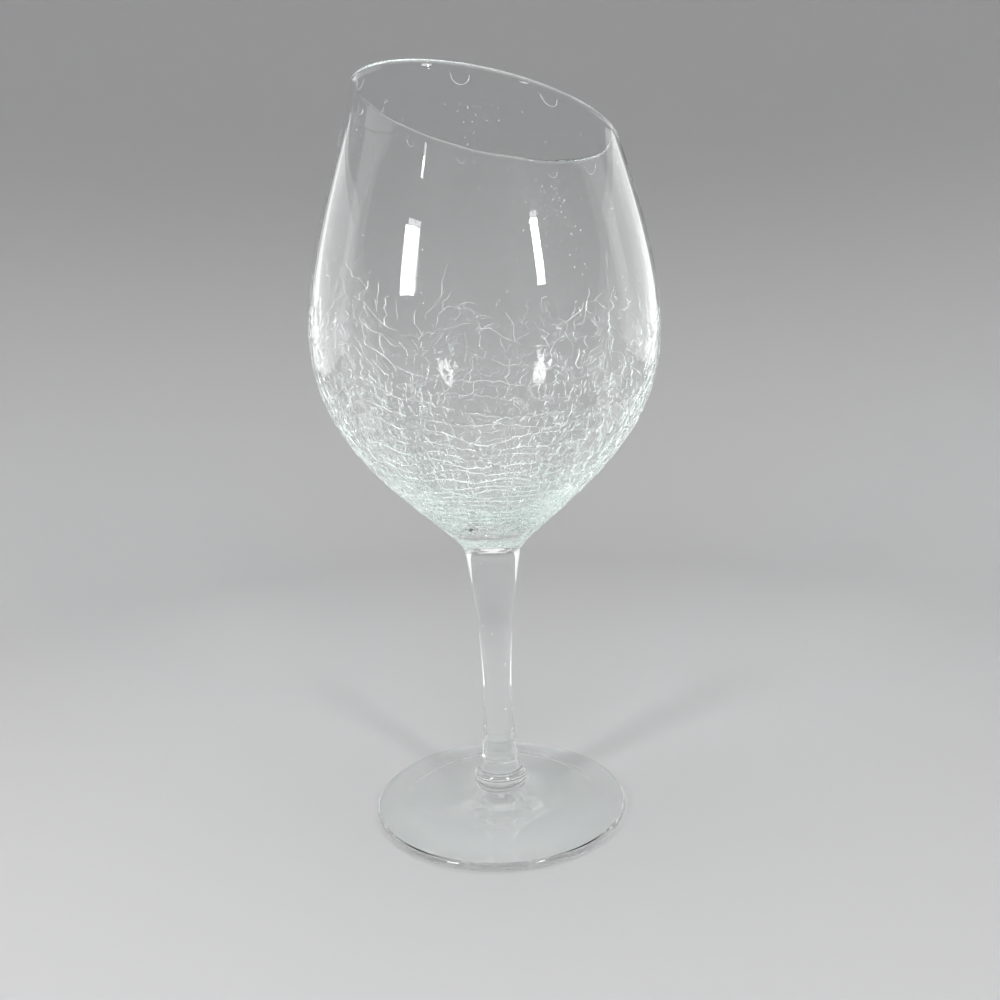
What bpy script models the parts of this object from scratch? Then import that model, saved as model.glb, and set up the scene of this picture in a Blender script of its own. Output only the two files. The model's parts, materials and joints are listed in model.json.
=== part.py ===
# Crackle wine glass with a slanted rim, blown and fused as one piece of clear glass.
# Metres, +Z up. The origin is the middle of the foot's underside, on the table.
# The rim is highest on the -X side and lowest on the +X side.

import math
import random

import bmesh
import bpy
from mathutils import Vector

MM = 0.001

# Foot
FOOT_DIAMETER = 75 * MM
FOOT_EDGE_THICKNESS = 2.4 * MM
FOOT_CONTACT_WIDTH = 5.2 * MM  # flat ring that stands on the table
FOOT_HOLLOW = 1.8 * MM  # rise of the underside at its middle
FOOT_TOP_HEIGHT = 6.2 * MM  # top of the foot, where the collar sits
FOOT_TOP_CURVE = 1.3  # 1 is a straight cone, more sinks the middle of its side

# Collar bead between foot and stem
COLLAR_DIAMETER = 15.8 * MM
COLLAR_RISE = 5.8 * MM  # height of the bead above the foot
COLLAR_NECK_DIAMETER = 14.0 * MM  # where the bead meets the foot
COLLAR_BULGE_SHARE = 0.36  # how far up the bead is widest

# Stem
STEM_LENGTH = 67.5 * MM
STEM_FOOT_DIAMETER = 11.8 * MM
STEM_WAIST_DIAMETER = 8.4 * MM
STEM_WAIST_RISE = 24 * MM  # waist above the collar
STEM_TOP_DIAMETER = 16.4 * MM
TOOL_RING_RISE = 8 * MM  # pressed ring above the collar
TOOL_RING_DEPTH = 0.2 * MM
TOOL_RING_SLOPE = 0.6 * MM  # height of the ring's upper side

# Joint between stem and bowl
JOINT_RISE = 1.1 * MM
JOINT_DIAMETER = 17.4 * MM

# Bowl
BOWL_DIAMETER = 97.2 * MM
BOWL_WIDEST_RISE = 59.8 * MM  # widest level above the joint
MOUTH_DIAMETER = 67 * MM  # across the mouth at the rim's highest level
MOUTH_LEAN = math.radians(7)  # how far the wall still leans in at the mouth
RIM_RISE = 57.1 * MM  # middle of the rim above the widest level
RIM_TILT = math.radians(13.3)
SLANT_START_SHARE = 0.35  # how far up from the belly to the rim the wall starts to slant
BOWL_WALL = 2.3 * MM
RIM_WALL = 1.8 * MM
BOWL_BOTTOM_THICKNESS = 6.6 * MM
FLARE_ANGLE = math.radians(44.6)  # how steeply the bowl leaves the joint
FLARE_FULLNESS = 21.5 * MM
BELLY_FULLNESS = 29.7 * MM
SHOULDER_FULLNESS = 25.1 * MM
MOUTH_FULLNESS = 12.1 * MM
INSIDE_BOTTOM_FULLNESS = 21 * MM
INSIDE_BELLY_FULLNESS = 28 * MM

# Crackle on the outside of the lower bowl
CRACKLE_TOP_RISE = 67 * MM  # mean upper edge of the crackle above the joint
CRACKLE_TOP_WANDER = 7 * MM
CRACKLE_TOP_WAVES = ((2, 0.55, 0.9), (5, 0.3, 2.1), (9, 0.25, 0))  # waves round the bowl, share, start
CRACKLE_START_RISE = 1.56 * MM  # whole glass between the joint and the first row of cells
CRACKLE_FIRST_ROW = 2.6 * MM
CRACKLE_ROW_GROWTH = 1.09  # each row of cells is this much taller than the one below
CRACK_WIDTH = 0.5 * MM
CRACK_DEPTH = 0.55 * MM
CRACK_DEPTH_SPREAD = (0.7, 1.1)  # shallowest and deepest crack, as shares of its depth
CELL_WANDER = 0.32  # how far a crack's corner strays, as a share of its cell
ROW_TURN = 0.4  # how far a whole row of cells is turned round the bowl, as a share of a cell
CELL_TILT = 0.03  # how far a cell's face leans out of the wall
MERGE_SHARE_LOW = 0.5  # share of upright cracks left out beside the stem
MERGE_SHARE_HIGH = 0.8  # and at the upper edge
CRACKLE_SEED = 41

# Fineness of the mesh
SEGMENTS = 40
CURVE_STEPS = 6
HOLLOW_STEPS = 3
EDGE_STEPS = 4
FOOT_TOP_STEPS = 4
STEM_STEPS = 5
STEM_SPACING = 0.8  # under 1 sets the stem's rings closer together near its top
LIP_STEPS = 4
SHARP_ANGLE = math.radians(35)
MERGE_DISTANCE = 0.001 * MM
HALVINGS = 40  # of the range that holds a wanted level
SLANT_ROUNDS = 12  # after which a slanted point has settled on the wall

# Levels and radii that follow from the sizes above
FOOT_RADIUS = FOOT_DIAMETER / 2
EDGE_RADIUS = FOOT_EDGE_THICKNESS / 2
COLLAR_TOP = FOOT_TOP_HEIGHT + COLLAR_RISE
WAIST_LEVEL = COLLAR_TOP + STEM_WAIST_RISE
STEM_TOP = COLLAR_TOP + STEM_LENGTH
JOINT_LEVEL = STEM_TOP + JOINT_RISE
WIDEST_LEVEL = JOINT_LEVEL + BOWL_WIDEST_RISE
RIM_LEVEL = WIDEST_LEVEL + RIM_RISE
RIM_SLOPE = math.tan(RIM_TILT)
MOUTH_LEVEL = RIM_LEVEL + RIM_SLOPE * MOUTH_DIAMETER / 2
INSIDE_BOTTOM = JOINT_LEVEL + BOWL_BOTTOM_THICKNESS
SLANT_START = WIDEST_LEVEL + SLANT_START_SHARE * RIM_RISE
CRACKLE_START = JOINT_LEVEL + CRACKLE_START_RISE
COLUMN_TURN = 2 * math.pi / SEGMENTS


def point(radius, level):
    return Vector((radius, 0, level))


def bezier(start, start_handle, end_handle, end):
    def at(t):
        s = 1 - t
        return s ** 3 * start + 3 * s * s * t * start_handle + 3 * s * t * t * end_handle + t ** 3 * end
    return at


def radius_at_level(curve, level):
    low, high = 0.0, 1.0
    for _ in range(HALVINGS):
        middle = (low + high) / 2
        if curve(middle).z < level:
            low = middle
        else:
            high = middle
    return curve((low + high) / 2).x


def bowl_curves(wall, rim_wall, bottom, bottom_handle, belly_handle):
    widest = point(BOWL_DIAMETER / 2 - wall, WIDEST_LEVEL)
    mouth = point(MOUTH_DIAMETER / 2 - rim_wall, MOUTH_LEVEL)
    lean = point(-math.sin(MOUTH_LEAN), math.cos(MOUTH_LEAN))
    lower = bezier(bottom, bottom + bottom_handle, widest - point(0, belly_handle), widest)
    upper = bezier(widest, widest + point(0, SHOULDER_FULLNESS), mouth - MOUTH_FULLNESS * lean, mouth)
    return lower, upper


OUTSIDE = bowl_curves(
    0, 0, point(JOINT_DIAMETER / 2, JOINT_LEVEL),
    FLARE_FULLNESS * point(math.cos(FLARE_ANGLE), math.sin(FLARE_ANGLE)), BELLY_FULLNESS)
INSIDE = bowl_curves(
    BOWL_WALL, RIM_WALL, point(0, INSIDE_BOTTOM), point(INSIDE_BOTTOM_FULLNESS, 0), INSIDE_BELLY_FULLNESS)


def bowl_radius(curves, level):
    lower, upper = curves
    return radius_at_level(lower if level < WIDEST_LEVEL else upper, level)


def foot_outline():
    hollow_radius = FOOT_RADIUS - EDGE_RADIUS - FOOT_CONTACT_WIDTH
    collar_radius = COLLAR_NECK_DIAMETER / 2
    top_radius = FOOT_RADIUS - EDGE_RADIUS
    outline = []
    for step in range(HOLLOW_STEPS + 1):  # hollow underside, from the middle outwards
        share = step / HOLLOW_STEPS
        outline.append(point(hollow_radius * share, FOOT_HOLLOW * (1 - share * share)))
    for step in range(EDGE_STEPS + 1):  # rounded edge, from the table up
        turn = math.pi * (step / EDGE_STEPS - 0.5)
        outline.append(point(top_radius + EDGE_RADIUS * math.cos(turn), EDGE_RADIUS * (1 + math.sin(turn))))
    for step in range(1, FOOT_TOP_STEPS + 1):  # top, rising to the collar
        share = step / FOOT_TOP_STEPS
        level = FOOT_EDGE_THICKNESS + (FOOT_TOP_HEIGHT - FOOT_EDGE_THICKNESS) * share ** FOOT_TOP_CURVE
        outline.append(point(top_radius + (collar_radius - top_radius) * share, level))
    return outline


def collar_outline():
    outline = []
    bulge_level = FOOT_TOP_HEIGHT + COLLAR_RISE * COLLAR_BULGE_SHARE
    for step in range(1, 3):
        turn = math.pi / 2 * step / 2
        outline.append(point(
            COLLAR_NECK_DIAMETER / 2 + (COLLAR_DIAMETER - COLLAR_NECK_DIAMETER) / 2 * math.sin(turn),
            FOOT_TOP_HEIGHT + (bulge_level - FOOT_TOP_HEIGHT) * (1 - math.cos(turn))))
    for step in range(1, 4):
        turn = math.pi / 2 * step / 3
        outline.append(point(
            STEM_FOOT_DIAMETER / 2 + (COLLAR_DIAMETER - STEM_FOOT_DIAMETER) / 2 * math.cos(turn),
            bulge_level + (COLLAR_TOP - bulge_level) * math.sin(turn)))
    return outline


def stem_radius(level):
    waist = STEM_WAIST_DIAMETER / 2
    if level < WAIST_LEVEL:
        share = (WAIST_LEVEL - level) / STEM_WAIST_RISE
        return waist + (STEM_FOOT_DIAMETER / 2 - waist) * share ** 2
    share = (level - WAIST_LEVEL) / (STEM_TOP - WAIST_LEVEL)
    return waist + (STEM_TOP_DIAMETER / 2 - waist) * share ** 2


def stem_outline():
    outline = []
    ring_level = COLLAR_TOP + TOOL_RING_RISE
    outline.append(point(stem_radius(ring_level) + TOOL_RING_DEPTH, ring_level))
    outline.append(point(stem_radius(ring_level + TOOL_RING_SLOPE), ring_level + TOOL_RING_SLOPE))
    for step in range(1, 3):
        level = ring_level + (WAIST_LEVEL - ring_level) * step / 2
        outline.append(point(stem_radius(level), level))
    for step in range(1, STEM_STEPS + 1):
        level = WAIST_LEVEL + (STEM_TOP - WAIST_LEVEL) * (step / STEM_STEPS) ** STEM_SPACING
        outline.append(point(stem_radius(level), level))
    return outline


def crackle_levels():
    levels = [CRACKLE_START]
    slant_length = CRACKLE_FIRST_ROW
    top = JOINT_LEVEL + CRACKLE_TOP_RISE + CRACKLE_TOP_WANDER
    while levels[-1] < top:
        level = levels[-1]
        above = level + slant_length / 2
        lean = (bowl_radius(OUTSIDE, above) - bowl_radius(OUTSIDE, level)) / (above - level)
        levels.append(level + slant_length / math.hypot(1, lean))
        slant_length *= CRACKLE_ROW_GROWTH
    return levels


def bowl_outline(crackle):
    outline = [point(JOINT_DIAMETER / 2, JOINT_LEVEL)]
    outline += [point(bowl_radius(OUTSIDE, level), level) for level in crackle]
    for step in range(1, CURVE_STEPS + 1):
        level = crackle[-1] + (RIM_LEVEL - crackle[-1]) * step / CURVE_STEPS
        outline.append(point(bowl_radius(OUTSIDE, level), level))
    return outline


def lip_outline():
    middle = (bowl_radius(OUTSIDE, RIM_LEVEL) + bowl_radius(INSIDE, RIM_LEVEL)) / 2
    half = (bowl_radius(OUTSIDE, RIM_LEVEL) - bowl_radius(INSIDE, RIM_LEVEL)) / 2
    turns = [math.pi * step / LIP_STEPS for step in range(1, LIP_STEPS)]
    return [point(middle + half * math.cos(turn), RIM_LEVEL + half * math.sin(turn)) for turn in turns]


def inside_outline():
    outline = []
    for step in range(CURVE_STEPS):
        level = RIM_LEVEL + (WIDEST_LEVEL - RIM_LEVEL) * step / CURVE_STEPS
        outline.append(point(bowl_radius(INSIDE, level), level))
    lower = INSIDE[0]
    steps = CURVE_STEPS + 2
    outline += [lower(1 - step / steps) for step in range(steps + 1)]
    return outline


def slanted(co):
    # The rings between the belly and the mouth tip over, more and more, until the rim lies on its slope.
    radius = math.hypot(co.x, co.y)
    if co.z <= SLANT_START or radius == 0:
        return co
    level = min(co.z, RIM_LEVEL)
    share = (level - SLANT_START) / (RIM_LEVEL - SLANT_START)
    share = share * share * (3 - 2 * share)
    outside = bowl_radius(OUTSIDE, level)
    inside = bowl_radius(INSIDE, level)
    through_wall = (radius - inside) / (outside - inside)
    new_level, new_radius = level, radius
    for _ in range(SLANT_ROUNDS):
        new_level = level - share * RIM_SLOPE * new_radius * co.x / radius
        wall_inside = bowl_radius(INSIDE, new_level)
        wall_outside = bowl_radius(OUTSIDE, new_level)
        new_radius = wall_inside + through_wall * (wall_outside - wall_inside)
    turn = math.atan2(co.y, co.x)
    return Vector((new_radius * math.cos(turn), new_radius * math.sin(turn), new_level + co.z - level))


def on_outside(turn, level):
    radius = bowl_radius(OUTSIDE, level)
    return Vector((radius * math.cos(turn), radius * math.sin(turn), level))


def crackle_top(turn):
    # Upper edge of the crackle, which wanders round the bowl.
    wave = sum(share * math.sin(count * turn + start) for count, share, start in CRACKLE_TOP_WAVES)
    return JOINT_LEVEL + CRACKLE_TOP_RISE + CRACKLE_TOP_WANDER * wave


def scatter_corners(rows, levels, chance):
    # Shifts each crossing of the regular grid along the wall, so that the cells come out uneven.
    for row in range(1, len(rows) - 1):
        row_turn = COLUMN_TURN * ROW_TURN * chance.uniform(-1, 1)
        for vert in rows[row]:
            turn = math.atan2(vert.co.y, vert.co.x) + row_turn
            turn += COLUMN_TURN * CELL_WANDER * chance.uniform(-1, 1)
            gap = min(levels[row + 1] - levels[row], levels[row] - levels[row - 1])
            level = levels[row] + gap * CELL_WANDER * chance.uniform(-1, 1)
            vert.co = on_outside(turn, level)


def shared_edge(first, second):
    return next((edge for edge in first.link_edges if edge.other_vert(first) is second), None)


def merge_cells(bm, rows, chance):
    # Leaves out some upright cracks, more of them higher up, never two side by side.
    count = len(rows)
    dropped = []
    for row in range(count - 1):
        share = MERGE_SHARE_LOW + (MERGE_SHARE_HIGH - MERGE_SHARE_LOW) * row / (count - 2)
        beside_dropped = True
        for column in range(SEGMENTS - 1):
            beside_dropped = not beside_dropped and chance.random() < share
            if beside_dropped:
                dropped.append(shared_edge(rows[row][column], rows[row + 1][column]))
    bmesh.ops.dissolve_edges(bm, edges=dropped, use_verts=False, use_face_split=False)


def add_crackle(bm, rows, levels):
    chance = random.Random(CRACKLE_SEED)
    scatter_corners(rows, levels, chance)
    merge_cells(bm, rows, chance)
    corners = {vert for row in rows for vert in row}
    grid = {face for vert in corners for face in vert.link_faces if all(v in corners for v in face.verts)}
    cells = []
    for face in sorted(grid, key=lambda f: f.calc_center_median().to_tuple(6)):
        centre = face.calc_center_median()
        if centre.z < crackle_top(math.atan2(centre.y, centre.x)):
            cells.append(face)
    inside_cells = set(cells)
    bm.normal_update()
    sunk = []
    for row in rows:
        for vert in row:
            if all(face in inside_cells for face in vert.link_faces):
                sunk.append((vert, vert.normal.copy(), chance.uniform(*CRACK_DEPTH_SPREAD)))
    bmesh.ops.inset_individual(bm, faces=cells, thickness=CRACK_WIDTH / 2, use_even_offset=True)
    for vert, outward, share in sunk:
        vert.co -= outward * CRACK_DEPTH * share
    for face in cells:
        centre = face.calc_center_median()
        lean = Vector([chance.uniform(-CELL_TILT, CELL_TILT) for _ in range(3)])
        for vert in face.verts:
            vert.co += face.normal * lean.dot(vert.co - centre)


def column_turn(vert):
    # Angle from the rim's high side. It starts over between two columns, so every ring counts alike.
    return (math.atan2(vert.co.y, vert.co.x) + math.pi + COLUMN_TURN / 2) % (2 * math.pi)


def ring_rows(bm, ring_layer, first, count):
    rows = [[] for _ in range(count)]
    for vert in bm.verts:
        row = vert[ring_layer] - first
        if 0 <= row < count:
            rows[row].append(vert)
    for row in rows:
        row.sort(key=column_turn)
    return rows


def glass_mesh():
    crackle = crackle_levels()
    below = foot_outline() + collar_outline() + stem_outline()
    outline = below + bowl_outline(crackle) + lip_outline() + inside_outline()
    bm = bmesh.new()
    ring_layer = bm.verts.layers.int.new("ring")
    verts = []
    for index, co in enumerate(outline):
        vert = bm.verts.new(co)
        vert[ring_layer] = index
        verts.append(vert)
    edges = [bm.edges.new(pair) for pair in zip(verts, verts[1:])]
    bmesh.ops.spin(
        bm, geom=verts + edges, cent=(0, 0, 0), axis=(0, 0, 1), angle=2 * math.pi, steps=SEGMENTS, use_merge=True)
    bmesh.ops.remove_doubles(bm, verts=bm.verts, dist=MERGE_DISTANCE)
    for vert in bm.verts:
        vert.co = slanted(vert.co)
    rows = ring_rows(bm, ring_layer, len(below) + 1, len(crackle))
    bmesh.ops.recalc_face_normals(bm, faces=bm.faces)
    add_crackle(bm, rows, crackle)
    mesh = bpy.data.meshes.new("wine_glass")
    bm.to_mesh(mesh)
    bm.free()
    mesh.shade_smooth()
    mesh.set_sharp_from_angle(angle=SHARP_ANGLE)
    return mesh


def glass_material():
    material = bpy.data.materials.new("clear_glass")
    material.use_nodes = True
    shader = material.node_tree.nodes["Principled BSDF"]
    shader.inputs["Base Color"].default_value = (0.86, 0.95, 0.92, 1)
    shader.inputs["Roughness"].default_value = 0.03
    shader.inputs["Metallic"].default_value = 0
    shader.inputs["Transmission Weight"].default_value = 1
    shader.inputs["IOR"].default_value = 1.5
    return material


def main():
    for old in list(bpy.data.objects):
        bpy.data.objects.remove(old, do_unlink=True)
    glass = bpy.data.objects.new("wine_glass", glass_mesh())
    glass.data.materials.append(glass_material())
    bpy.context.scene.collection.objects.link(glass)


main()
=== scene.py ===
import bisect
import json
import math
import random

import bmesh
import bpy
from mathutils import Matrix, Vector, noise

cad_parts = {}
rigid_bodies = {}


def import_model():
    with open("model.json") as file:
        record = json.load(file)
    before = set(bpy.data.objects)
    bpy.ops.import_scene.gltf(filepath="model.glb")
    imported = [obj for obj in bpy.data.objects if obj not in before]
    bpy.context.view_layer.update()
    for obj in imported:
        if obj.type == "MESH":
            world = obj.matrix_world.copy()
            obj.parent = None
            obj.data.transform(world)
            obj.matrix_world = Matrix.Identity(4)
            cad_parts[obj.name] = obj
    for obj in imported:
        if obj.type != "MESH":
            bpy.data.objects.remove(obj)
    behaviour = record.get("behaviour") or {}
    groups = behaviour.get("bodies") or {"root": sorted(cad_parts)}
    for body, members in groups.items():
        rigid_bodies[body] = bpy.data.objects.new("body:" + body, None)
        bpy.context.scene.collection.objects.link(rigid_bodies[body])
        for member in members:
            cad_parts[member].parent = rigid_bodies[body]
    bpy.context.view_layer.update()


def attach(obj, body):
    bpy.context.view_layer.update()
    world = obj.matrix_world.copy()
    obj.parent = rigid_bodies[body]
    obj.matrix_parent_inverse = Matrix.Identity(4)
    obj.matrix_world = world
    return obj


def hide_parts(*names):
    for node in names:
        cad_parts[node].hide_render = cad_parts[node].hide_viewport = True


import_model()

fullTurn = 2 * math.pi

glass = {  # metres and degrees; the bowl stays a hair inside the solid's flat faces
    "footDiameter": 0.075, "footEdge": 0.0024, "footContact": 0.0052, "footHollow": 0.0018,
    "hollowPower": 4, "footTop": 0.0062, "footCurve": 1.3,
    "collarDiameter": 0.0158, "collarRise": 0.0058, "collarNeck": 0.014, "collarBulge": 0.36,
    "stemLength": 0.0675, "stemFoot": 0.0118, "stemWaist": 0.0084, "waistRise": 0.024, "stemTop": 0.0164,
    "toolRingRise": 0.008, "toolRingDepth": 0.0002, "toolRingWidth": 0.0012,
    "jointRise": 0.0011, "jointDiameter": 0.0174, "jointFlow": 0.0019,
    "jointBlend": 0.001, "jointRing": 0.00013, "jointRingWidth": 0.0008,
    "bowlDiameter": 0.09665, "widestRise": 0.0598, "mouthDiameter": 0.067, "mouthLean": 7,
    "rimRise": 0.05706, "rimTilt": 13.3, "slantStart": 0.35, "bowlWall": 0.0023, "rimWall": 0.0018,
    "bottomThickness": 0.0066, "flareAngle": 44.6, "flareFullness": 0.0215, "bellyFullness": 0.0297,
    "shoulderFullness": 0.0251, "mouthFullness": 0.0121, "insideBottom": 0.021, "insideBelly": 0.028,
    "ripple": 0.000015, "rippleOrders": (7, 13, 19), "rippleShift": 9, "rippleTwist": 30, "rippleFrom": 0.02,
    "segments": 144, "sharpAngle": 28,
}

outlineSteps = {
    "hollow": 12, "edge": 16, "top": 24, "bead": 8, "shoulder": 12, "stem": 60, "flow": 16,
    "bowl": 40, "lip": 14, "inner": 45,
}
wallSteps = 300  # in each half of a wall
bottomStride = 5  # every fifth of them is enough inside the bottom
wallProbe = 0.0002  # the way over which the wall's lean is read
riseStep = 0.00005

crackle = {  # metres; a pair runs from the joint to the crackle's upper edge
    "start": 0.0028,  # above the joint
    "top": 0.067, "gap": 0.0006,
    "topWander": 0.007, "topWaves": ((0.55, 2, 0.9), (0.3, 5, 2.1), (0.25, 9, 0)), "wanderFrom": 0.45,
    "plateHeight": (0.0014, 0.0064), "plateWidth": (0.0022, 0.0098), "growth": 1.25, "fewest": 8,
    "sway": 0.48, "swayOrders": (2, 17), "swayWaves": 4,  # a share of a plate's height
    "wander": 0.28, "slant": 0.30, "swing": 0.12, "leastSide": 0.12,  # shares of a plate's width
    "warp": 0.09, "warpAround": 2.6, "warpUp": 2.5,
    "step": 0.0011, "stepShare": 0.16, "jitter": 0.09, "joined": (0.16, 0.0),
    "grooveWidth": 0.00012, "grooveDepth": 0.00010, "grooveFade": (0.25, 0.75), "grooveScale": 300,
    "grooveRoughness": 0.9,
    "flatBelow": 0.0040, "flatUpTo": 0.62, "flatness": 0.85, "tilt": 0.03,
    "seed": 41,
}


def activate(*things):
    bpy.ops.object.select_all(action="DESELECT")
    for thing in things:
        thing.select_set(True)
    bpy.context.view_layer.objects.active = things[0]


def at(radius, level):
    return Vector((radius, 0, level))


def around(radius, turn, level):
    return Vector((radius * math.cos(turn), radius * math.sin(turn), level))


def shares(name, first=1):
    return [i / outlineSteps[name] for i in range(first, outlineSteps[name] + 1)]


# Levels up the glass
collarTop = glass["footTop"] + glass["collarRise"]
waistLevel = collarTop + glass["waistRise"]
stemTop = collarTop + glass["stemLength"]
jointLevel = stemTop + glass["jointRise"]
widestLevel = jointLevel + glass["widestRise"]
rimLevel = widestLevel + glass["rimRise"]
rimSlope = math.tan(math.radians(glass["rimTilt"]))
mouthLevel = rimLevel + rimSlope * glass["mouthDiameter"] / 2
slantLevel = widestLevel + glass["slantStart"] * glass["rimRise"]
crackStart = jointLevel + crackle["start"]
crackTop = jointLevel + crackle["top"]


def bezier(start, startHandle, endHandle, end):
    def curve(t):
        s = 1 - t
        return s ** 3 * start + 3 * s * s * t * startHandle + 3 * s * t * t * endHandle + t ** 3 * end
    return curve


def wallCurves(wall, rimWall, bottom, bottomHandle, bellyHandle):
    widest = at(glass["bowlDiameter"] / 2 - wall, widestLevel)
    mouth = at(glass["mouthDiameter"] / 2 - rimWall, mouthLevel)
    lean = math.radians(glass["mouthLean"])
    inward = at(-math.sin(lean), math.cos(lean))
    lower = bezier(bottom, bottom + bottomHandle, widest - at(0, bellyHandle), widest)
    upper = bezier(widest, widest + at(0, glass["shoulderFullness"]),
                   mouth - glass["mouthFullness"] * inward, mouth)
    return ([lower(i / wallSteps) for i in range(wallSteps)]
            + [upper(i / wallSteps) for i in range(wallSteps + 1)])


flare = math.radians(glass["flareAngle"])
outsideWall = wallCurves(0, 0, at(glass["jointDiameter"] / 2, jointLevel),
                         glass["flareFullness"] * at(math.cos(flare), math.sin(flare)),
                         glass["bellyFullness"])
insideWall = wallCurves(glass["bowlWall"], glass["rimWall"], at(0, jointLevel + glass["bottomThickness"]),
                        at(glass["insideBottom"], 0), glass["insideBelly"])
outsideLevels = [co.z for co in outsideWall]
insideLevels = [co.z for co in insideWall]


def wallRadius(wall, levels, level):
    i = min(max(bisect.bisect_left(levels, level), 1), len(wall) - 1)
    low, high = wall[i - 1], wall[i]
    share = (level - low.z) / (high.z - low.z)
    return low.x + (high.x - low.x) * share


def outside(level):
    return wallRadius(outsideWall, outsideLevels, level)


def inside(level):
    return wallRadius(insideWall, insideLevels, level)


def footOutline():
    edge = glass["footEdge"] / 2
    rimRadius = glass["footDiameter"] / 2 - edge
    hollow = rimRadius - glass["footContact"]
    neck = glass["collarNeck"] / 2
    outline = [at(hollow * share, glass["footHollow"] * (1 - share ** glass["hollowPower"]))
               for share in shares("hollow", 0)]
    for share in shares("edge", 0):
        turn = math.pi * (share - 0.5)
        outline.append(at(rimRadius + edge * math.cos(turn), edge * (1 + math.sin(turn))))
    for share in shares("top"):
        level = glass["footEdge"] + (glass["footTop"] - glass["footEdge"]) * share ** glass["footCurve"]
        outline.append(at(rimRadius + (neck - rimRadius) * share, level))
    return outline


def collarOutline():
    bulge = glass["footTop"] + glass["collarRise"] * glass["collarBulge"]
    neck, wide, top = glass["collarNeck"] / 2, glass["collarDiameter"] / 2, glass["stemFoot"] / 2
    outline = []
    for share in shares("bead"):
        turn = math.pi / 2 * share
        outline.append(at(neck + (wide - neck) * math.sin(turn),
                          glass["footTop"] + (bulge - glass["footTop"]) * (1 - math.cos(turn))))
    for share in shares("shoulder"):
        turn = math.pi / 2 * share
        outline.append(at(top + (wide - top) * math.cos(turn), bulge + (collarTop - bulge) * math.sin(turn)))
    return outline


def stemRadius(level):
    waist = glass["stemWaist"] / 2
    if level < waistLevel:
        share = (waistLevel - level) / glass["waistRise"]
        return waist + (glass["stemFoot"] / 2 - waist) * share ** 2
    share = (level - waistLevel) / (stemTop - waistLevel)
    return waist + (glass["stemTop"] / 2 - waist) * share ** 2


def stemOutline():
    outline = []
    ring = collarTop + glass["toolRingRise"]
    for share in shares("stem"):
        level = collarTop + (stemTop - collarTop) * share
        bump = smooth(1 - abs(level - ring) / glass["toolRingWidth"])
        outline.append(at(stemRadius(level) + glass["toolRingDepth"] * bump, level))
    return outline


def belowCrackle():  # the stem flows into the bowl, with a faint ring where they were fused
    outline = footOutline() + collarOutline() + stemOutline()
    outline = [co for co in outline if co.z < stemTop - glass["jointBlend"]]
    start, end = outline[-1], at(outside(crackStart), crackStart)
    stemWay = (outline[-1] - outline[-2]).normalized()
    bowlWay = (at(outside(crackStart + wallProbe), crackStart + wallProbe) - end).normalized()
    curve = bezier(start, start + glass["jointFlow"] * stemWay, end - glass["jointFlow"] * bowlWay, end)
    for share in shares("flow"):
        co = curve(share)
        bump = smooth(1 - abs(co.z - jointLevel) / glass["jointRingWidth"])
        outline.append(co + at(glass["jointRing"] * bump, 0))
    return outline


def crackWave(turn):
    return crackle["topWander"] * sum(size * math.sin(order * turn + phase)
                                      for size, order, phase in crackle["topWaves"])


def aboveCrackle():
    low = crackTop + crackle["gap"]
    levels = [low + (rimLevel - low) * share for share in shares("bowl", 0)]
    outline = [at(outside(level), level) for level in levels]
    middle = (outside(rimLevel) + inside(rimLevel)) / 2
    half = (outside(rimLevel) - inside(rimLevel)) / 2
    for share in shares("lip")[:-1]:
        turn = math.pi * share
        outline.append(at(middle + half * math.cos(turn), rimLevel + half * math.sin(turn)))
    for share in shares("inner", 0)[:-1]:
        level = rimLevel + (widestLevel - rimLevel) * share
        outline.append(at(inside(level), level))
    return outline + insideWall[wallSteps::-bottomStride]


def lathe(name, outline, steps):
    bpy.ops.mesh.primitive_plane_add(size=0.001, location=outline[0])
    shell = bpy.context.object
    shell.name = name
    bpy.ops.object.mode_set(mode="EDIT")
    bpy.ops.mesh.select_mode(type="VERT")
    bpy.ops.mesh.merge(type="CENTER")
    for here, there in zip(outline, outline[1:]):
        bpy.ops.mesh.extrude_region_move(TRANSFORM_OT_translate={"value": there - here})
    bpy.ops.mesh.select_all(action="SELECT")
    bpy.ops.mesh.spin(steps=steps, angle=fullTurn, center=(0, 0, 0), axis=(0, 0, 1))
    bpy.ops.mesh.select_all(action="SELECT")
    bpy.ops.mesh.remove_doubles(threshold=0.000004)
    bpy.ops.object.mode_set(mode="OBJECT")
    bpy.ops.object.transform_apply(location=True, rotation=True, scale=True)
    return shell


def smooth(share):
    share = min(max(share, 0), 1)
    return share * share * (3 - 2 * share)


def raised(co):  # the wall just above the crackle follows its wandering edge
    slack = 0.0001
    if not crackTop - slack < co.z < slantLevel or math.hypot(co.x, co.y) < inside(co.z) + slack:
        return co
    turn = math.atan2(co.y, co.x)
    share = (co.z - crackTop) / (slantLevel - crackTop)
    level = co.z + crackWave(turn) * (1 - share)
    return around(outside(level), turn, level)


def rippled(co):  # the inside of a blown wall is never quite round
    radius = math.hypot(co.x, co.y)
    if radius < glass["rippleFrom"] or radius > (inside(co.z) + outside(co.z)) / 2:
        return co
    turn = math.atan2(co.y, co.x)
    wave = sum(math.sin(order * turn + glass["rippleShift"] * order + glass["rippleTwist"] * co.z)
               for order in glass["rippleOrders"])
    scale = 1 + glass["ripple"] * wave / radius
    return Vector((co.x * scale, co.y * scale, co.z))


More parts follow.
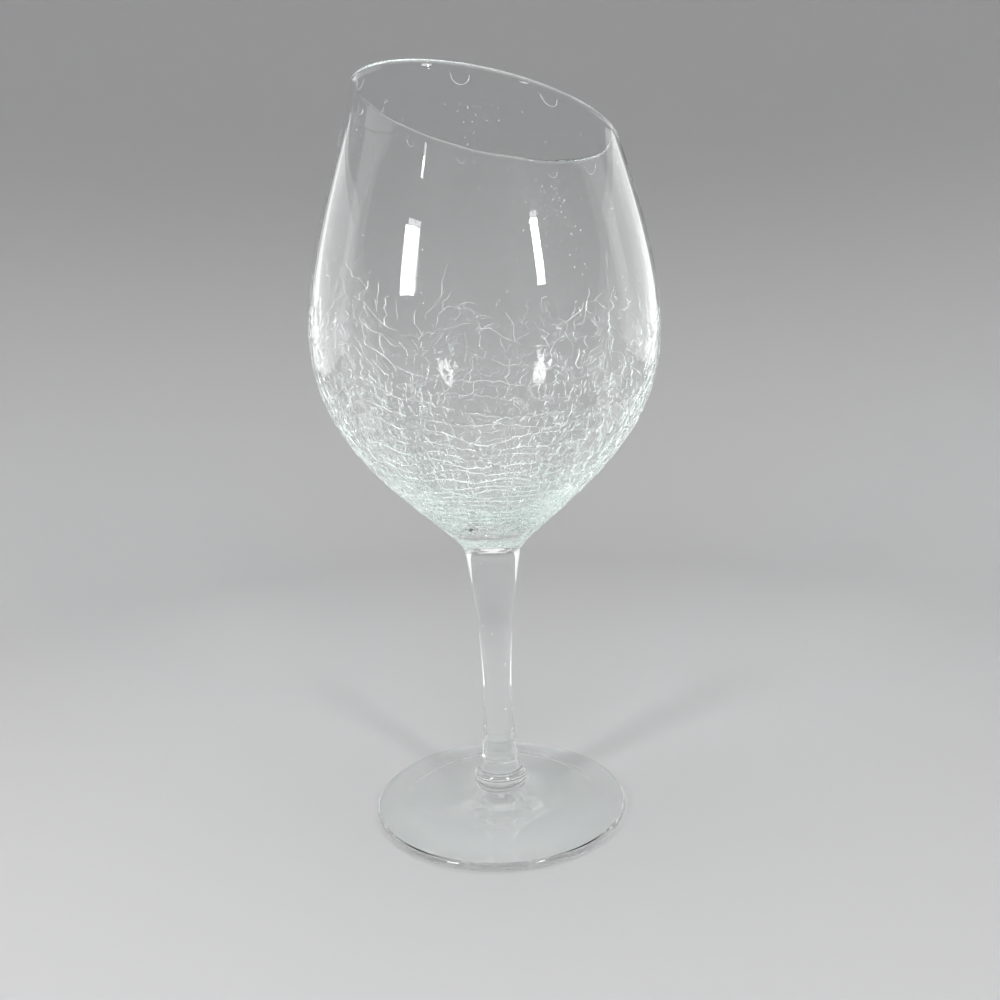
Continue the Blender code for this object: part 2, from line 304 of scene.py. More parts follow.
def slanted(co):  # rings above the belly tip over until the rim lies on its slope
    radius = math.hypot(co.x, co.y)
    if co.z <= slantLevel or radius == 0:
        return co
    level = min(co.z, rimLevel)
    share = smooth((level - slantLevel) / (rimLevel - slantLevel))
    throughWall = (radius - inside(level)) / (outside(level) - inside(level))
    newLevel, newRadius = level, radius
    for _ in range(12):  # the level and the radius settle on each other
        newLevel = level - share * rimSlope * newRadius * co.x / radius
        newRadius = inside(newLevel) + throughWall * (outside(newLevel) - inside(newLevel))
    return around(newRadius, math.atan2(co.y, co.x), newLevel + co.z - level)


# The crackled wall unrolled: rise grows by the way along the wall over its radius, so plates keep their shape
riseTable, levelTable = [0.0], [crackStart]
while levelTable[-1] < crackTop:
    level = levelTable[-1] + riseStep
    lean = (outside(level) - outside(levelTable[-1])) / riseStep
    riseTable.append(riseTable[-1] + riseStep * math.hypot(1, lean) / outside(level))
    levelTable.append(level)
fullRise = riseTable[-1]


def riseIndex(rise):
    return min(max(bisect.bisect_left(riseTable, rise), 1), len(riseTable) - 1)


def levelAt(rise):
    return levelTable[riseIndex(rise)]


def onWall(turn, rise):
    i = riseIndex(rise)
    share = (rise - riseTable[i - 1]) / (riseTable[i] - riseTable[i - 1])
    level = levelTable[i - 1] + share * (levelTable[i] - levelTable[i - 1])
    late = (rise / fullRise - crackle["wanderFrom"]) / (1 - crackle["wanderFrom"])
    level += crackWave(turn) * smooth(late)
    return around(outside(level), turn, level)


def outward(co):
    radius = math.hypot(co.x, co.y)
    lean = (outside(co.z + wallProbe) - outside(co.z - wallProbe)) / (2 * wallProbe)
    return Vector((co.x / radius, co.y / radius, -lean)).normalized()


def ontoWall(co):
    scale = outside(co.z) / math.hypot(co.x, co.y)
    return Vector((co.x * scale, co.y * scale, co.z))


def between(pair, share):
    return pair[0] + (pair[1] - pair[0]) * min(max(share, 0), 1)


def upCrackle(level):  # 0 where the crackle starts, 1 at its upper edge
    return (level - crackStart) / (crackTop - crackStart)


def grown(name, level):  # small near the stem, large at the crackle's upper edge
    return between(crackle[name], min(max(upCrackle(level), 0), 1) ** crackle["growth"])


def crackRings(chance):
    bases = [0.0]
    while bases[-1] < fullRise:
        level = levelAt(bases[-1])
        bases.append(bases[-1] + grown("plateHeight", level) / outside(level))
    bases = [base * fullRise / bases[-1] for base in bases]
    waves = [[(chance.randint(*crackle["swayOrders"]), chance.uniform(0, fullTurn))
              for _ in range(crackle["swayWaves"])] for _ in bases]

    def riseOf(k, turn):
        if k in (0, len(bases) - 1):
            return bases[k]
        wave = sum(math.sin(order * turn + phase) for order, phase in waves[k]) / crackle["swayWaves"]
        warp = noise.noise(around(crackle["warpAround"], turn, crackle["warpUp"] * bases[k]))
        return (bases[k] + (bases[k + 1] - bases[k - 1]) / 2 * crackle["sway"] * wave
                + crackle["warp"] * warp * math.sqrt(math.sin(math.pi * bases[k] / fullRise)))
    return bases, riseOf


def divideRows(bases, chance):  # where the upright cracks of each row start and end
    rows, marks = [], [[] for _ in bases]
    for k in range(len(bases) - 1):
        level = levelAt((bases[k] + bases[k + 1]) / 2)
        count = max(crackle["fewest"], round(fullTurn * outside(level) / grown("plateWidth", level)))
        shift = chance.random()
        rows.append([])
        for j in range(count):
            turn = j + shift + crackle["wander"] * chance.uniform(-1, 1)
            slant = crackle["slant"] * chance.uniform(-0.5, 0.5)
            low, high = (turn - slant) / count * fullTurn, (turn + slant) / count * fullTurn
            rows[k].append((low, high))
            marks[k].append((low % fullTurn, (k, j, "low")))
            marks[k + 1].append((high % fullTurn, (k, j, "high")))
    return rows, marks


def ringTurns(marks, least, step, place):  # the turns of one level crack's corners, its crossings among them
    turns = []
    marks.sort()
    for turn, key in marks + [(marks[0][0] + fullTurn, None)]:
        if turns and key and turn - turns[-1] < least:
            place[key] = len(turns) - 1
            continue
        if turns:
            spans = max(1, round((turn - turns[-1]) / step))
            start = turns[-1]
            turns += [start + (turn - start) * i / spans for i in range(1, spans)]
        if key:
            turns.append(turn)
            place[key] = len(turns) - 1
    return turns


def levelCracks(bm, bases, riseOf, marks, chance):
    rings, place = [], {}
    for k, base in enumerate(bases):
        level = levelAt(base)
        radius, width = outside(level), grown("plateWidth", level)
        reach = (bases[min(k + 1, len(bases) - 1)] - bases[max(k - 1, 0)]) / 2
        step = max(crackle["step"], crackle["stepShare"] * width) / radius
        rings.append([])
        for turn in ringTurns(marks[k], crackle["leastSide"] * width / radius, step, place):
            rise = riseOf(k, turn)
            if 0 < k < len(bases) - 1:
                rise += reach * crackle["jitter"] * chance.uniform(-1, 1)
            rings[k].append(bm.verts.new(onWall(turn, rise)))
    return rings, place


def uprightCracks(bm, rows, riseOf, chance):
    uprights = {}
    for k, row in enumerate(rows):
        swing = crackle["swing"] * fullTurn / len(row)
        for j, (low, high) in enumerate(row):
            bottom, top = riseOf(k, low), riseOf(k + 1, high)
            spans = max(2, round((top - bottom) * outside(levelAt(bottom)) / crackle["step"]))
            uprights[k, j] = []
            for i in range(1, spans):
                turn = low + (high - low) * i / spans + swing * chance.uniform(-1, 1)
                uprights[k, j].append(bm.verts.new(onWall(turn, bottom + (top - bottom) * i / spans)))
    return uprights


def plateNetwork(chance):
    bases, riseOf = crackRings(chance)
    rows, marks = divideRows(bases, chance)
    bm = bmesh.new()
    rings, place = levelCracks(bm, bases, riseOf, marks, chance)
    uprights = uprightCracks(bm, rows, riseOf, chance)
    for k, row in enumerate(rows):
        for j in range(len(row)):
            n = (j + 1) % len(row)
            sides = []
            for ring, kind in ((rings[k], "low"), (rings[k + 1], "high")):
                i, last = place[k, j, kind], place[k, n, kind]
                path = [ring[i]]
                while i != last:
                    i = (i + 1) % len(ring)
                    path.append(ring[i])
                sides.append(path)
            bm.faces.new(sides[0] + uprights[k, n] + sides[1][::-1] + uprights[k, j][::-1])
    print("plates", len(bm.faces), "rows", len(rows))
    return bm


def joinPlates(bm, chance):  # some plates near the stem run on into a neighbour
    for face in list(bm.faces):
        if not face.is_valid or face.tag:
            continue
        share = upCrackle(face.calc_center_median().z)
        edge = chance.choice(list(face.edges))
        if chance.random() > between(crackle["joined"], share) or edge.is_boundary:
            continue
        other = next(f for f in edge.link_faces if f is not face)
        if not other.tag:
            other.tag = True
            for whole in bmesh.ops.dissolve_faces(bm, faces=[face, other], use_verts=False)["region"]:
                whole.tag = True


def wallThickness(level):
    if level < insideWall[0].z + 0.001:  # the bottom is solid
        return outside(level)
    return outside(level) - inside(level)


fissures = {  # metres; they follow the plates' edges
    "levelDepth": (0.0009, 0.00020), "uprightDepth": (0.0021, 0.0006),
    "uprightFrom": 0.35, "uprightOver": 0.4,
    "depthGrowth": 0.6, "depthScale": 330, "deepest": 0.85,  # of the wall
    "lean": 0.24, "leanScale": 260, "uprightLean": 0.6, "topSink": 0.8,  # of a groove's depth
    "clearBottom": 0.13, "bottomMissing": 0.8, "broken": (0.05, 0.34), "breakScale": 150, "patchiness": 0.9,
    "lineWidth": (0.00003, 0.00018), "lineSink": 0.0002, "lineScale": 210, "lineFrom": 0.45, "lineFade": 0.6,
}

shards = {  # metres
    "count": 5400, "rise": (0.10, 0.84), "risePower": 1.1,
    "length": (0.0007, 0.0026), "depth": (0.0003, 0.0011),
    "lean": 0.04, "upright": 0.90, "uprightSpread": 0.28, "levelSpread": 0.4, "bend": 0.2,
    "leastSink": 0.0001, "mostSink": 0.4, "wallCounted": 0.003, "tip": 1.1,
}

hairs = {  # metres
    "count": 110, "stride": 0.0007, "depth": (0.00012, 0.00040), "width": (0.0, 0.00010),
    "rise": (0.80, 1.0), "spread": 0.5, "strides": (6, 20), "wander": 0.20, "kinkChance": 0.2, "kink": 0.8,
    "forkChance": 0.12, "fork": (0.5, 1.1), "forkStrides": (4, 10), "plainEnds": 3,
    "lean": 0.3, "sink": 0.00004, "lineSink": 0.00012, "depthScale": 500, "widthScale": 240,
}


def deepPoint(co, deep, lean):
    normal = outward(co)
    tilt = noise.noise_vector(co * fissures["leanScale"]) * lean
    deep = min(deep, fissures["deepest"] * wallThickness(co.z))
    return co - (normal + tilt - normal * tilt.dot(normal)) * deep


def ribbon(bm, path, depths, lean, sink):  # the leaning sheet of a crack, inside the wall
    tops = [bm.verts.new(co - outward(co) * sink) for co in path]
    lows = [bm.verts.new(deepPoint(co, deep, lean)) for co, deep in zip(path, depths)]
    for i in range(len(path) - 1):
        bm.faces.new((tops[i], tops[i + 1], lows[i + 1], lows[i]))


def crackLine(bm, path, widths, sink):  # the bright line of a crack, flat in the wall
    sides = []
    for i, co in enumerate(path):
        normal = outward(co)
        along = path[min(i + 1, len(path) - 1)] - path[max(i - 1, 0)]
        across = normal.cross(along).normalized() * widths[i] / 2
        sides.append([bm.verts.new(co - normal * sink + side * across) for side in (-1, 1)])
    for (a, b), (c, d) in zip(sides, sides[1:]):
        bm.faces.new((a, b, d, c))


def sunkPair(sheets, vert):  # upright cracks go deeper than level ones
    share = max(upCrackle(vert.co.z), 0) ** fissures["depthGrowth"]
    ways = [edge.verts[1].co - edge.verts[0].co for edge in vert.link_edges]
    upright = sum(abs(way.z) / max(way.length, 1e-6) for way in ways) / len(ways)
    deep = between((between(fissures["levelDepth"], share), between(fissures["uprightDepth"], share)),
                   (upright - fissures["uprightFrom"]) / fissures["uprightOver"])
    deep *= 1 + fissures["patchiness"] * noise.noise(vert.co * fissures["depthScale"])
    top = vert.co - outward(vert.co) * crackle["grooveDepth"] * fissures["topSink"]
    low = deepPoint(vert.co, deep, fissures["lean"] * (1 - fissures["uprightLean"] * upright))
    return sheets.verts.new(top), sheets.verts.new(low)


def networkFissures(bm, sheets):  # each crack goes on into the wall as a thin leaning sheet
    sunk = {}
    for edge in bm.edges:
        middle = (edge.verts[0].co + edge.verts[1].co) / 2
        share = upCrackle(middle.z)
        missing = between(fissures["broken"], share)
        if share < fissures["clearBottom"]:
            missing = between((fissures["bottomMissing"], fissures["broken"][0]),
                              share / fissures["clearBottom"])
        whole = 0.5 + fissures["patchiness"] * noise.noise(middle * fissures["breakScale"])
        if edge.is_boundary or whole < missing:
            continue
        for vert in edge.verts:
            if vert not in sunk:
                sunk[vert] = sunkPair(sheets, vert)
        (topA, lowA), (topB, lowB) = (sunk[vert] for vert in edge.verts)
        sheets.faces.new((topA, topB, lowB, lowA))
        ends = [vert.co for vert in edge.verts]
        narrow = 1 - fissures["lineFade"] * upCrackle(ends[0].z)
        strengths = [fissures["lineFrom"] + noise.noise(co * fissures["lineScale"]) for co in ends]
        widths = [between(fissures["lineWidth"], strength) * narrow for strength in strengths]
        crackLine(sheets, ends, widths, fissures["lineSink"])


def scatterShards(sheets, chance):  # short cracks inside the wall, edge-on from the front, pale from the side
    for _ in range(shards["count"]):
        turn = chance.uniform(0, fullTurn)
        rise = fullRise * between(shards["rise"], chance.random() ** shards["risePower"])
        co = onWall(turn, rise)
        half = chance.uniform(*shards["length"]) / outside(co.z) / 2
        if chance.random() < shards["upright"]:
            way = chance.gauss(math.pi / 2, shards["uprightSpread"])
        else:
            way = chance.gauss(0, shards["levelSpread"])
        bend = chance.uniform(-shards["bend"], shards["bend"])
        path = []
        for along, across in ((-half, 0), (0, bend * half), (half, 0)):
            path.append(onWall(turn + along * math.cos(way) - across * math.sin(way),
                               max(rise + along * math.sin(way) + across * math.cos(way), 0)))
        thick = min(wallThickness(co.z), shards["wallCounted"])
        sink = chance.uniform(shards["leastSink"], shards["mostSink"] * thick)
        deep = sink + chance.uniform(*shards["depth"])
        tip = sink * shards["tip"]
        ribbon(sheets, path, (tip, deep, tip), shards["lean"], sink)


def hairPath(turn, rise, way, strides, starts, chance):
    path, plain = [], hairs["plainEnds"]
    for i in range(strides):
        path.append(onWall(turn, rise))
        stride = hairs["stride"] / outside(path[-1].z)
        bend = chance.gauss(0, hairs["wander"])
        if chance.random() < hairs["kinkChance"]:
            bend += chance.uniform(-hairs["kink"], hairs["kink"])
        way += bend
        turn += stride * math.cos(way)
        rise += stride * math.sin(way)
        if plain < i < strides - plain and chance.random() < hairs["forkChance"]:
            fork = way + chance.choice((-1, 1)) * chance.uniform(*hairs["fork"])
            starts.append((turn, rise, fork, chance.randint(*hairs["forkStrides"])))
    return path


def hairCracks(sheets, chance):  # fine branching cracks that run up out of the crackle
    for _ in range(hairs["count"]):
        starts = [(chance.uniform(0, fullTurn), fullRise * chance.uniform(*hairs["rise"]),
                   chance.gauss(math.pi / 2, hairs["spread"]), chance.randint(*hairs["strides"]))]
        while starts:
            path = hairPath(*starts.pop(), starts, chance)
            depths = [between(hairs["depth"], 0.5 + noise.noise(co * hairs["depthScale"])) for co in path]
            widths = [between(hairs["width"], 0.5 + noise.noise(co * hairs["widthScale"])) for co in path]
            ribbon(sheets, path, depths, hairs["lean"], hairs["sink"])
            crackLine(sheets, path, widths, hairs["lineSink"])


def meshObject(name, bm):
    mesh = bpy.data.meshes.new(name)
    bm.to_mesh(mesh)
    bm.free()
    thing = bpy.data.objects.new(name, mesh)
    bpy.context.scene.collection.objects.link(thing)
    return thing


def cutGrooves(bm):
    network = [(vert, outward(vert.co)) for vert in bm.verts if not vert.is_boundary]
    plates = list(bm.faces)
    bmesh.ops.inset_individual(bm, faces=plates, thickness=crackle["grooveWidth"] / 2, use_even_offset=False)
    low, high = crackle["grooveFade"]
    for vert, normal in network:
        fade = 1 - smooth((upCrackle(vert.co.z) - low) / (high - low))
        rough = crackle["grooveRoughness"] * (1 + noise.noise(vert.co * crackle["grooveScale"]))
        vert.co -= normal * crackle["grooveDepth"] * fade * rough
    return plates


def setPlates(bm, plates, chance):  # small plates are flat and tilted a little, large ones follow the wall
    for plate in plates:
        middle = plate.calc_center_median()
        reach = max((vert.co - middle).length for vert in plate.verts)
        lean = Vector([chance.uniform(-1, 1) for _ in range(3)]) * crackle["tilt"]
        if reach < crackle["flatBelow"] and upCrackle(middle.z) < crackle["flatUpTo"]:
            flat = (outward(middle) + lean).normalized()
            for vert in plate.verts:
                vert.co -= flat * flat.dot(vert.co - middle) * crackle["flatness"]
        else:
            border = list(plate.verts)
            ring = [bm.verts.new(ontoWall((vert.co + middle) / 2)) for vert in border]
            centre = bm.verts.new(ontoWall(middle))
            bm.faces.remove(plate)
            for i in range(len(border)):
                n = (i + 1) % len(border)
                bm.faces.new((border[i], border[n], ring[n], ring[i]))
                bm.faces.new((ring[i], ring[n], centre))


def crackledBand(chance):
    noise.seed_set(crackle["seed"])  # noise_vector starts from the clock otherwise
    bm = plateNetwork(chance)
    joinPlates(bm, chance)
    bm.normal_update()
    sheets = bmesh.new()
    networkFissures(bm, sheets)
    scatterShards(sheets, chance)
    hairCracks(sheets, chance)
    cracks = meshObject("crack_fissures", sheets)
    print("fissures", len(cracks.data.polygons))
    setPlates(bm, cutGrooves(bm), chance)
    return meshObject("crackled_band", bm), cracks


def closeGap(thing, level, reach):
    bpy.ops.mesh.select_all(action="DESELECT")
    bm = bmesh.from_edit_mesh(thing.data)
    for edge in bm.edges:
        if edge.is_boundary and all(abs(vert.co.z - level) < reach for vert in edge.verts):
            edge.select_set(True)
    bmesh.update_edit_mesh(thing.data)
    bpy.ops.mesh.bridge_edge_loops()


traceSeed = 7  # one chain of draws for specks, drops and bubbles, in that order

specks = {  # metres
    "count": 900, "size": (0.00006, 0.00016), "stretch": (0.7, 2.2), "levels": (0.147, 0.190),
    "streaksAround": 14, "streaksUp": 40, "thinned": (0, 0.6), "sink": 0.00003,
}


def addSpeck(bm, co, size, chance):
    stretch = chance.uniform(*specks["stretch"])
    axes = [Vector((size, 0, 0)), Vector((0, size, 0)), Vector((0, 0, size * stretch))]
    tips = [bm.verts.new(co + sign * axis) for axis in axes for sign in (1, -1)]
    for x in (0, 1):
        for y in (2, 3):
            for z in (4, 5):
                corners = (tips[x], tips[y], tips[z])
                bm.faces.new(corners if (x + y + z) % 2 == 0 else corners[::-1])


def newPiece(name, bm, material):
    bmesh.ops.recalc_face_normals(bm, faces=bm.faces)
    piece = meshObject(name, bm)
    piece.data.materials.append(material)
    return piece


def dustSpecks(chance):  # they lie in loose streaks on the upper bowl
    bm = bmesh.new()
    added = 0
    while added < specks["count"]:
        turn, level = chance.uniform(0, fullTurn), chance.uniform(*specks["levels"])
        streak = noise.noise(around(specks["streaksAround"], turn, specks["streaksUp"] * level))
        if streak < chance.uniform(*specks["thinned"]):
            continue
        co = slanted(around(outside(level), turn, level))
        addSpeck(bm, co - specks["sink"] * outward(co), chance.uniform(*specks["size"]), chance)
        added += 1
    return bm


drops = {  # metres
    "count": 9, "radius": (0.0012, 0.0024), "belowRim": 0.0042, "line": 0.00006, "apart": 0.3, "hang": 1.1,
    "steps": 14, "sides": 5,
}


def driedDrops(chance):  # faint outlines of drops that dried under the rim, on the inside
    bm = bmesh.new()
    sides = drops["sides"]
    for i in range(drops["count"]):
        turn = (i + chance.uniform(-drops["apart"], drops["apart"])) / drops["count"] * fullTurn
        size = chance.uniform(*drops["radius"])
        rings = []
        for k in range(drops["steps"] + 1):
            arc = math.pi * (1 + k / drops["steps"])
            level = rimLevel - drops["belowRim"] + size * (1 + math.sin(arc)) * drops["hang"]
            here = turn + size * math.cos(arc) / inside(level)
            co = slanted(around(inside(level), here, level))
            across = Vector((-math.sin(here) * math.cos(arc), math.cos(here) * math.cos(arc), math.sin(arc)))
            away = around(1, here, 0)
            rings.append([bm.verts.new(co + drops["line"] * (across * math.cos(a) + away * math.sin(a)))
                          for a in (fullTurn * s / sides for s in range(sides))])
        for low, high in zip(rings, rings[1:]):
            for s in range(sides):
                n = (s + 1) % sides
                bm.faces.new((low[s], low[n], high[n], high[s]))
        bm.faces.new(rings[0][::-1])
        bm.faces.new(rings[-1])
    return bm


bubbles = {  # metres
    "count": 7, "radius": (0.00010, 0.00022), "aboveCollar": 0.012, "out": (0.2, 0.75), "stretch": (1.2, 3),
}


def stemBubbles(chance):
    bm = bmesh.new()
    for _ in range(bubbles["count"]):
        level = chance.uniform(collarTop + bubbles["aboveCollar"], stemTop)
        turn, out = chance.uniform(0, fullTurn), chance.uniform(*bubbles["out"]) * stemRadius(level)
        size = chance.uniform(*bubbles["radius"])
        stretch = Matrix.Diagonal((1, 1, chance.uniform(*bubbles["stretch"]), 1))
        bmesh.ops.create_icosphere(bm, subdivisions=1, radius=size,
                                   matrix=Matrix.Translation(around(out, turn, level)) @ stretch)
    return bm


def wineGlass():
    below = lathe("glass_below", belowCrackle(), glass["segments"])
    above = lathe("glass_above", aboveCrackle(), glass["segments"])
    for vert in above.data.vertices:
        vert.co = slanted(rippled(raised(vert.co)))
    band, cracks = crackledBand(random.Random(crackle["seed"]))
    activate(below, above, band)
    bpy.ops.object.join()
    body = bpy.context.object
    body.name = "glass_body"
    bpy.ops.object.mode_set(mode="EDIT")
    bpy.ops.mesh.select_mode(type="EDGE")
    closeGap(body, crackStart, 0.01)
    closeGap(body, crackTop, 0.02)
    bpy.ops.mesh.select_all(action="SELECT")
    bpy.ops.mesh.normals_make_consistent(inside=False)
    bpy.ops.object.mode_set(mode="OBJECT")
    activate(body)
    bpy.ops.object.shade_smooth()
    body.data.set_sharp_from_angle(angle=math.radians(glass["sharpAngle"]))
    bm = bmesh.new()
    bm.from_mesh(body.data)
    print("glass body: open edges", sum(not edge.is_manifold for edge in bm.edges),
          "triangles", sum(len(face.verts) - 2 for face in bm.faces))
    bm.free()
    return body, cracks


finish = {
    "streak": 0.18, "tintBetween": (0.35, 0.65), "filmScale": 45, "filmBetween": (0.45, 0.75), "ior": 1.5,
    "bowl": {"clear": (0.990, 0.997, 0.994), "tint": (0.982, 0.994, 0.990), "shadow": (0.92, 0.95, 0.94),
             "scale": 70, "relief": 0.00003},
    "stem": {"clear": (0.988, 0.996, 0.993), "tint": (0.976, 0.993, 0.987), "shadow": (0.61, 0.63, 0.622),
             "scale": 70, "relief": 0.00003},
    "crack": {"clear": (0.98, 0.985, 0.983), "tint": (0.925, 0.965, 0.95), "shadow": (0.80, 0.83, 0.82),
              "scale": 400, "relief": 0.00001, "roughness": (0.16, 0.34), "metallic": 0.35},
}


def newMaterial(name):
    material = bpy.data.materials.new(name)
    material.use_nodes = True
    return material, material.node_tree.nodes["Principled BSDF"]


def addSockets(group, way, sockets):
    for name, kind in sockets:
        group.interface.new_socket(name=name, in_out=way, socket_type="NodeSocket" + kind)


def addRange(nodes, low, high):
    change = nodes.new("ShaderNodeMapRange")
    change.inputs["From Min"].default_value = low
    change.inputs["From Max"].default_value = high
    return change


def handBlown():  # what every glass of the piece shares: cords of tint, a faint film, drawn streaks
    group = bpy.data.node_groups.new("handBlown", "ShaderNodeTree")
    addSockets(group, "INPUT", (("Clear", "Color"), ("Tint", "Color"), ("Smooth", "Float"), ("Dull", "Float"),
                                ("Scale", "Float")))
    addSockets(group, "OUTPUT", (("Colour", "Color"), ("Roughness", "Float"), ("Height", "Float")))
    nodes, links = group.nodes, group.links
    given, made = nodes.new("NodeGroupInput"), nodes.new("NodeGroupOutput")
    place = nodes.new("ShaderNodeTexCoord")
    drawn = nodes.new("ShaderNodeMapping")  # streaks run up the glass, as it was pulled
    drawn.inputs["Scale"].default_value = (1, 1, finish["streak"])
    links.new(place.outputs["Object"], drawn.inputs["Vector"])
    cords, film = nodes.new("ShaderNodeTexNoise"), nodes.new("ShaderNodeTexNoise")
    cords.inputs["Detail"].default_value = 2
    links.new(drawn.outputs["Vector"], cords.inputs["Vector"])
    links.new(given.outputs["Scale"], cords.inputs["Scale"])
    film.inputs["Scale"].default_value = finish["filmScale"]
    film.inputs["Detail"].default_value = 3
    links.new(place.outputs["Object"], film.inputs["Vector"])
    share = addRange(nodes, *finish["tintBetween"])
    links.new(cords.outputs["Fac"], share.inputs["Value"])
    blend = nodes.new("ShaderNodeMix")
    blend.data_type = "RGBA"
    links.new(share.outputs["Result"], blend.inputs["Factor"])
    links.new(given.outputs["Clear"], blend.inputs["A"])
    links.new(given.outputs["Tint"], blend.inputs["B"])
    dull = addRange(nodes, *finish["filmBetween"])
    links.new(film.outputs["Fac"], dull.inputs["Value"])
    links.new(given.outputs["Smooth"], dull.inputs["To Min"])
    links.new(given.outputs["Dull"], dull.inputs["To Max"])
    links.new(blend.outputs["Result"], made.inputs["Colour"])
    links.new(dull.outputs["Result"], made.inputs["Roughness"])
    links.new(cords.outputs["Fac"], made.inputs["Height"])
    return group


def placeHandBlown(material, shader, group, look):
    nodes, links = material.node_tree.nodes, material.node_tree.links
    surface = nodes.new("ShaderNodeGroup")
    surface.node_tree = group
    surface.inputs["Clear"].default_value = (*look["clear"], 1)
    surface.inputs["Tint"].default_value = (*look["tint"], 1)
    surface.inputs["Scale"].default_value = look["scale"]
    links.new(surface.outputs["Colour"], shader.inputs["Base Color"])
    if "roughness" in look:
        surface.inputs["Smooth"].default_value, surface.inputs["Dull"].default_value = look["roughness"]
        links.new(surface.outputs["Roughness"], shader.inputs["Roughness"])
    relief = nodes.new("ShaderNodeBump")
    relief.inputs["Strength"].default_value = 1
    relief.inputs["Distance"].default_value = look["relief"]
    links.new(surface.outputs["Height"], relief.inputs["Height"])
    links.new(relief.outputs["Normal"], shader.inputs["Normal"])
    letLightThrough(material, shader, look["shadow"])


def glassMaterial(name, group, look):
    material, shader = newMaterial(name)
    shader.inputs["Transmission Weight"].default_value = 1
    shader.inputs["IOR"].default_value = finish["ior"]
    shader.inputs["Roughness"].default_value = 0  # fire-polished
    placeHandBlown(material, shader, group, look)
    return material


def letLightThrough(material, shader, shadow):  # lamps light what lies inside and behind the glass
    nodes, links = material.node_tree.nodes, material.node_tree.links
    clear = nodes.new("ShaderNodeBsdfTransparent")
    clear.inputs["Color"].default_value = (*shadow, 1)
    path = nodes.new("ShaderNodeLightPath")
    mix = nodes.new("ShaderNodeMixShader")
    links.new(path.outputs["Is Shadow Ray"], mix.inputs["Fac"])
    links.new(shader.outputs["BSDF"], mix.inputs[1])
    links.new(clear.outputs["BSDF"], mix.inputs[2])
    links.new(mix.outputs["Shader"], nodes["Material Output"].inputs["Surface"])


def crackLight(group, look):
    material, shader = newMaterial("crackLight")
    shader.inputs["Metallic"].default_value = look["metallic"]
    placeHandBlown(material, shader, group, look)
    return material


body, cracks = wineGlass()
body.data.materials.clear()
blown = handBlown()
body.data.materials.append(glassMaterial("bowlGlass", blown, finish["bowl"]))
body.data.materials.append(glassMaterial("stemGlass", blown, finish["stem"]))
for face in body.data.polygons:
    if face.center.z < jointLevel:
        face.material_index = 1
crackMaterial = crackLight(blown, finish["crack"])
cracks.data.materials.append(crackMaterial)
chance = random.Random(traceSeed)
small = [newPiece("dust_specks", dustSpecks(chance), crackMaterial),
         newPiece("dried_drops", driedDrops(chance), crackMaterial),
         newPiece("stem_bubbles", stemBubbles(chance), crackMaterial)]
for thing in [body, cracks] + small:
    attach(thing, "root")
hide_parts("wine_glass")
print("glass done")

studio = {
    "floorColour": (0.65, 0.65, 0.655, 1), "wallColour": (0.43, 0.43, 0.435, 1),
    "wallFrom": 0.35, "roughness": 0.9, "radius": 0.62, "corner": 0.30, "cornerSteps": 24, "wallTop": 1.1,
    "floorLevel": -0.0002, "segments": 96, "world": 1.1,
}


def sweep():  # a round floor that turns up into a wall, the same from every side
    corner, low = studio["corner"], studio["floorLevel"]
    flat = studio["radius"] - corner
    outline = [at(0, low), at(flat, low)]
    for i in range(1, studio["cornerSteps"] + 1):
        turn = math.pi / 2 * i / studio["cornerSteps"]
        outline.append(at(flat + corner * math.sin(turn), corner * (1 - math.cos(turn)) + low))
    outline.append(at(studio["radius"], studio["wallTop"]))
    stage = lathe("floor", outline, studio["segments"])
    bpy.ops.object.shade_smooth()
    material, shader = newMaterial("paleFloor")
    nodes, links = material.node_tree.nodes, material.node_tree.links
    shader.inputs["Roughness"].default_value = studio["roughness"]
    place = nodes.new("ShaderNodeTexCoord")
    split = nodes.new("ShaderNodeSeparateXYZ")
    rise = addRange(nodes, 0.0, studio["wallFrom"])
    rise.interpolation_type = "SMOOTHSTEP"
    blend = nodes.new("ShaderNodeMix")
    blend.data_type = "RGBA"
    blend.inputs["A"].default_value = studio["floorColour"]
    blend.inputs["B"].default_value = studio["wallColour"]
    links.new(place.outputs["Object"], split.inputs["Vector"])
    links.new(split.outputs["Z"], rise.inputs["Value"])
    links.new(rise.outputs["Result"], blend.inputs["Factor"])
    links.new(blend.outputs["Result"], shader.inputs["Base Color"])
    stage.data.materials.append(material)


sweep()

world = bpy.data.worlds.new("studio")
bpy.context.scene.world = world
world.use_nodes = True
world.node_tree.nodes["Background"].inputs["Color"].default_value = (1, 1, 1, 1)
world.node_tree.nodes["Background"].inputs["Strength"].default_value = studio["world"]
print("studio done")

camera = {
    "azimuth": -18, "distance": 0.2515, "sideways": 0.0026, "height": 0.136, "pitch": -9.6, "roll": -1.9,
    "lens": 31.9, "sensor": 36,
}

lamps = {  # degrees to the right of the camera and above level, then metres and watts
    "window_left": {"turn": -45.8, "lift": 21.5, "away": 0.55, "size": (0.085, 0.17), "power": 1.6},
    "window_right": {"turn": 35.5, "lift": 23.5, "away": 0.55, "size": (0.048, 0.165), "power": 1.0},
    "ceiling_strip": {"turn": -43.5, "lift": 41, "away": 0.55, "size": (0.012, 0.03), "power": 0.03},
    "card_left": {"turn": -118, "lift": 0, "away": 0.50, "size": (0.44, 0.50), "power": 0.5,
                  "onlyGlass": True},
    "card_right": {"turn": 118, "lift": 0, "away": 0.50, "size": (0.44, 0.50), "power": 0.5,
                   "onlyGlass": True},
}
lampMiddle = Vector((0, 0, 0.155))

floorCards = {  # they face up, for the stem's edges
    "turns": {"floor_card_left": -101, "floor_card_right": 101}, "away": 0.20, "level": 0.001,
    "size": (0.22, 0.08), "power": 0.07,
}


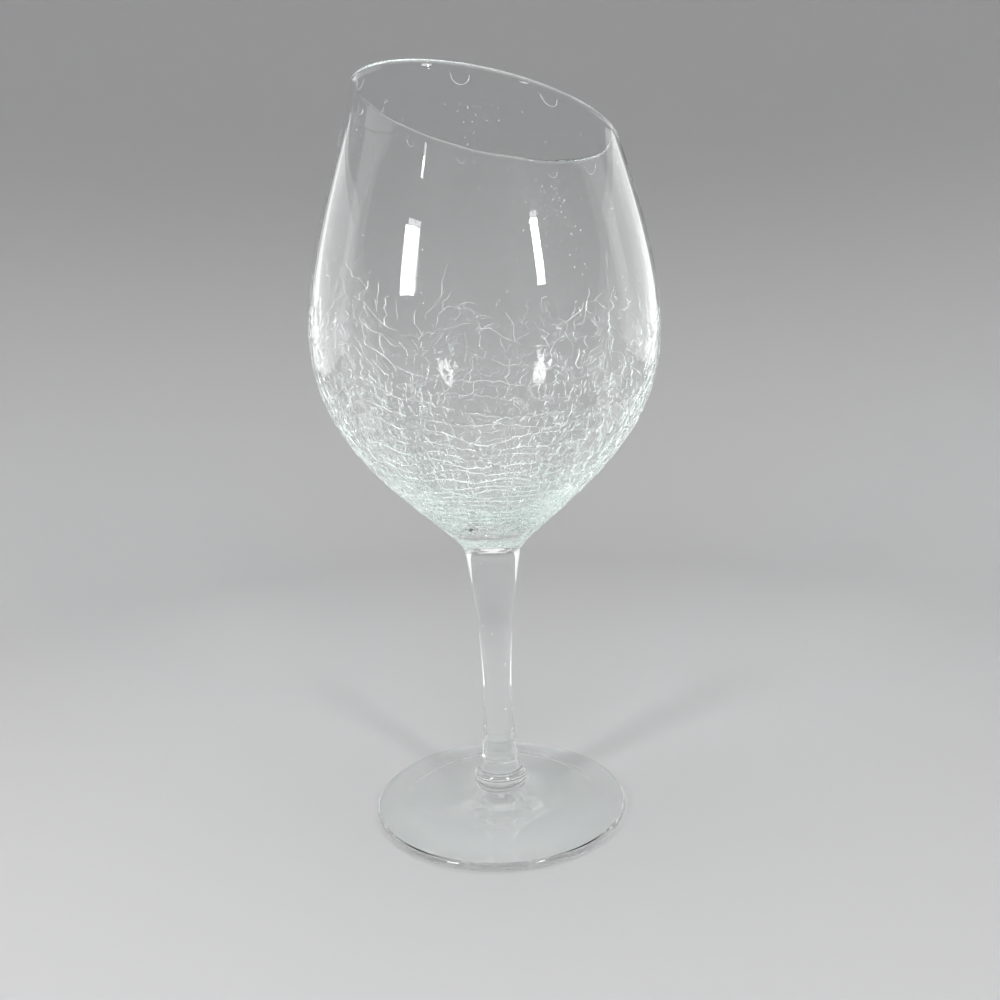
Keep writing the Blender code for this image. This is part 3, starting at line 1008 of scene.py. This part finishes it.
def fromGlass(turn, lift):
    a, e = math.radians(camera["azimuth"] + turn), math.radians(lift)
    return Vector((math.sin(a) * math.cos(e), -math.cos(a) * math.cos(e), math.sin(e)))


def addLamp(name, size, power, place, facing):
    light = bpy.data.lights.new(name, "AREA")
    light.shape = "RECTANGLE"
    light.size, light.size_y = size
    light.energy = power
    lamp = bpy.data.objects.new(name, light)
    lamp.location = place
    lamp.rotation_euler = facing
    lamp.visible_camera = False
    bpy.context.scene.collection.objects.link(lamp)
    return lamp


for name, values in lamps.items():
    away = fromGlass(values["turn"], values["lift"])
    lamp = addLamp(name, values["size"], values["power"], lampMiddle + away * values["away"],
                   away.to_track_quat("Z", "Y").to_euler())
    lamp.visible_diffuse = not values.get("onlyGlass", False)

for name, turn in floorCards["turns"].items():
    place = fromGlass(turn, 0) * floorCards["away"] + Vector((0, 0, floorCards["level"]))
    lamp = addLamp(name, floorCards["size"], floorCards["power"], place,
                   (math.pi, 0, math.radians(camera["azimuth"] + turn - 90)))
    lamp.visible_diffuse = lamp.visible_glossy = False

lens = bpy.data.cameras.new("camera")
lens.lens = camera["lens"]
lens.sensor_width = camera["sensor"]
viewer = bpy.data.objects.new("camera", lens)
bpy.context.scene.collection.objects.link(viewer)
a = math.radians(camera["azimuth"])
viewer.location = Vector((camera["distance"] * math.sin(a) + camera["sideways"] * math.cos(a),
                          -camera["distance"] * math.cos(a) + camera["sideways"] * math.sin(a),
                          camera["height"]))
turned = (Matrix.Rotation(a, 4, "Z") @ Matrix.Rotation(math.radians(90 + camera["pitch"]), 4, "X")
          @ Matrix.Rotation(math.radians(camera["roll"]), 4, "Z"))
viewer.rotation_euler = turned.to_euler()
bpy.context.scene.camera = viewer
bpy.context.scene.view_settings.view_transform = "Standard"
bpy.context.scene.cycles.max_bounces = 24  # thick glass edges pass light on many times
bpy.context.scene.cycles.transmission_bounces = 24
bpy.context.scene.cycles.glossy_bounces = 22
bpy.context.scene.cycles.transparent_max_bounces = 12
print("lamps and camera done")
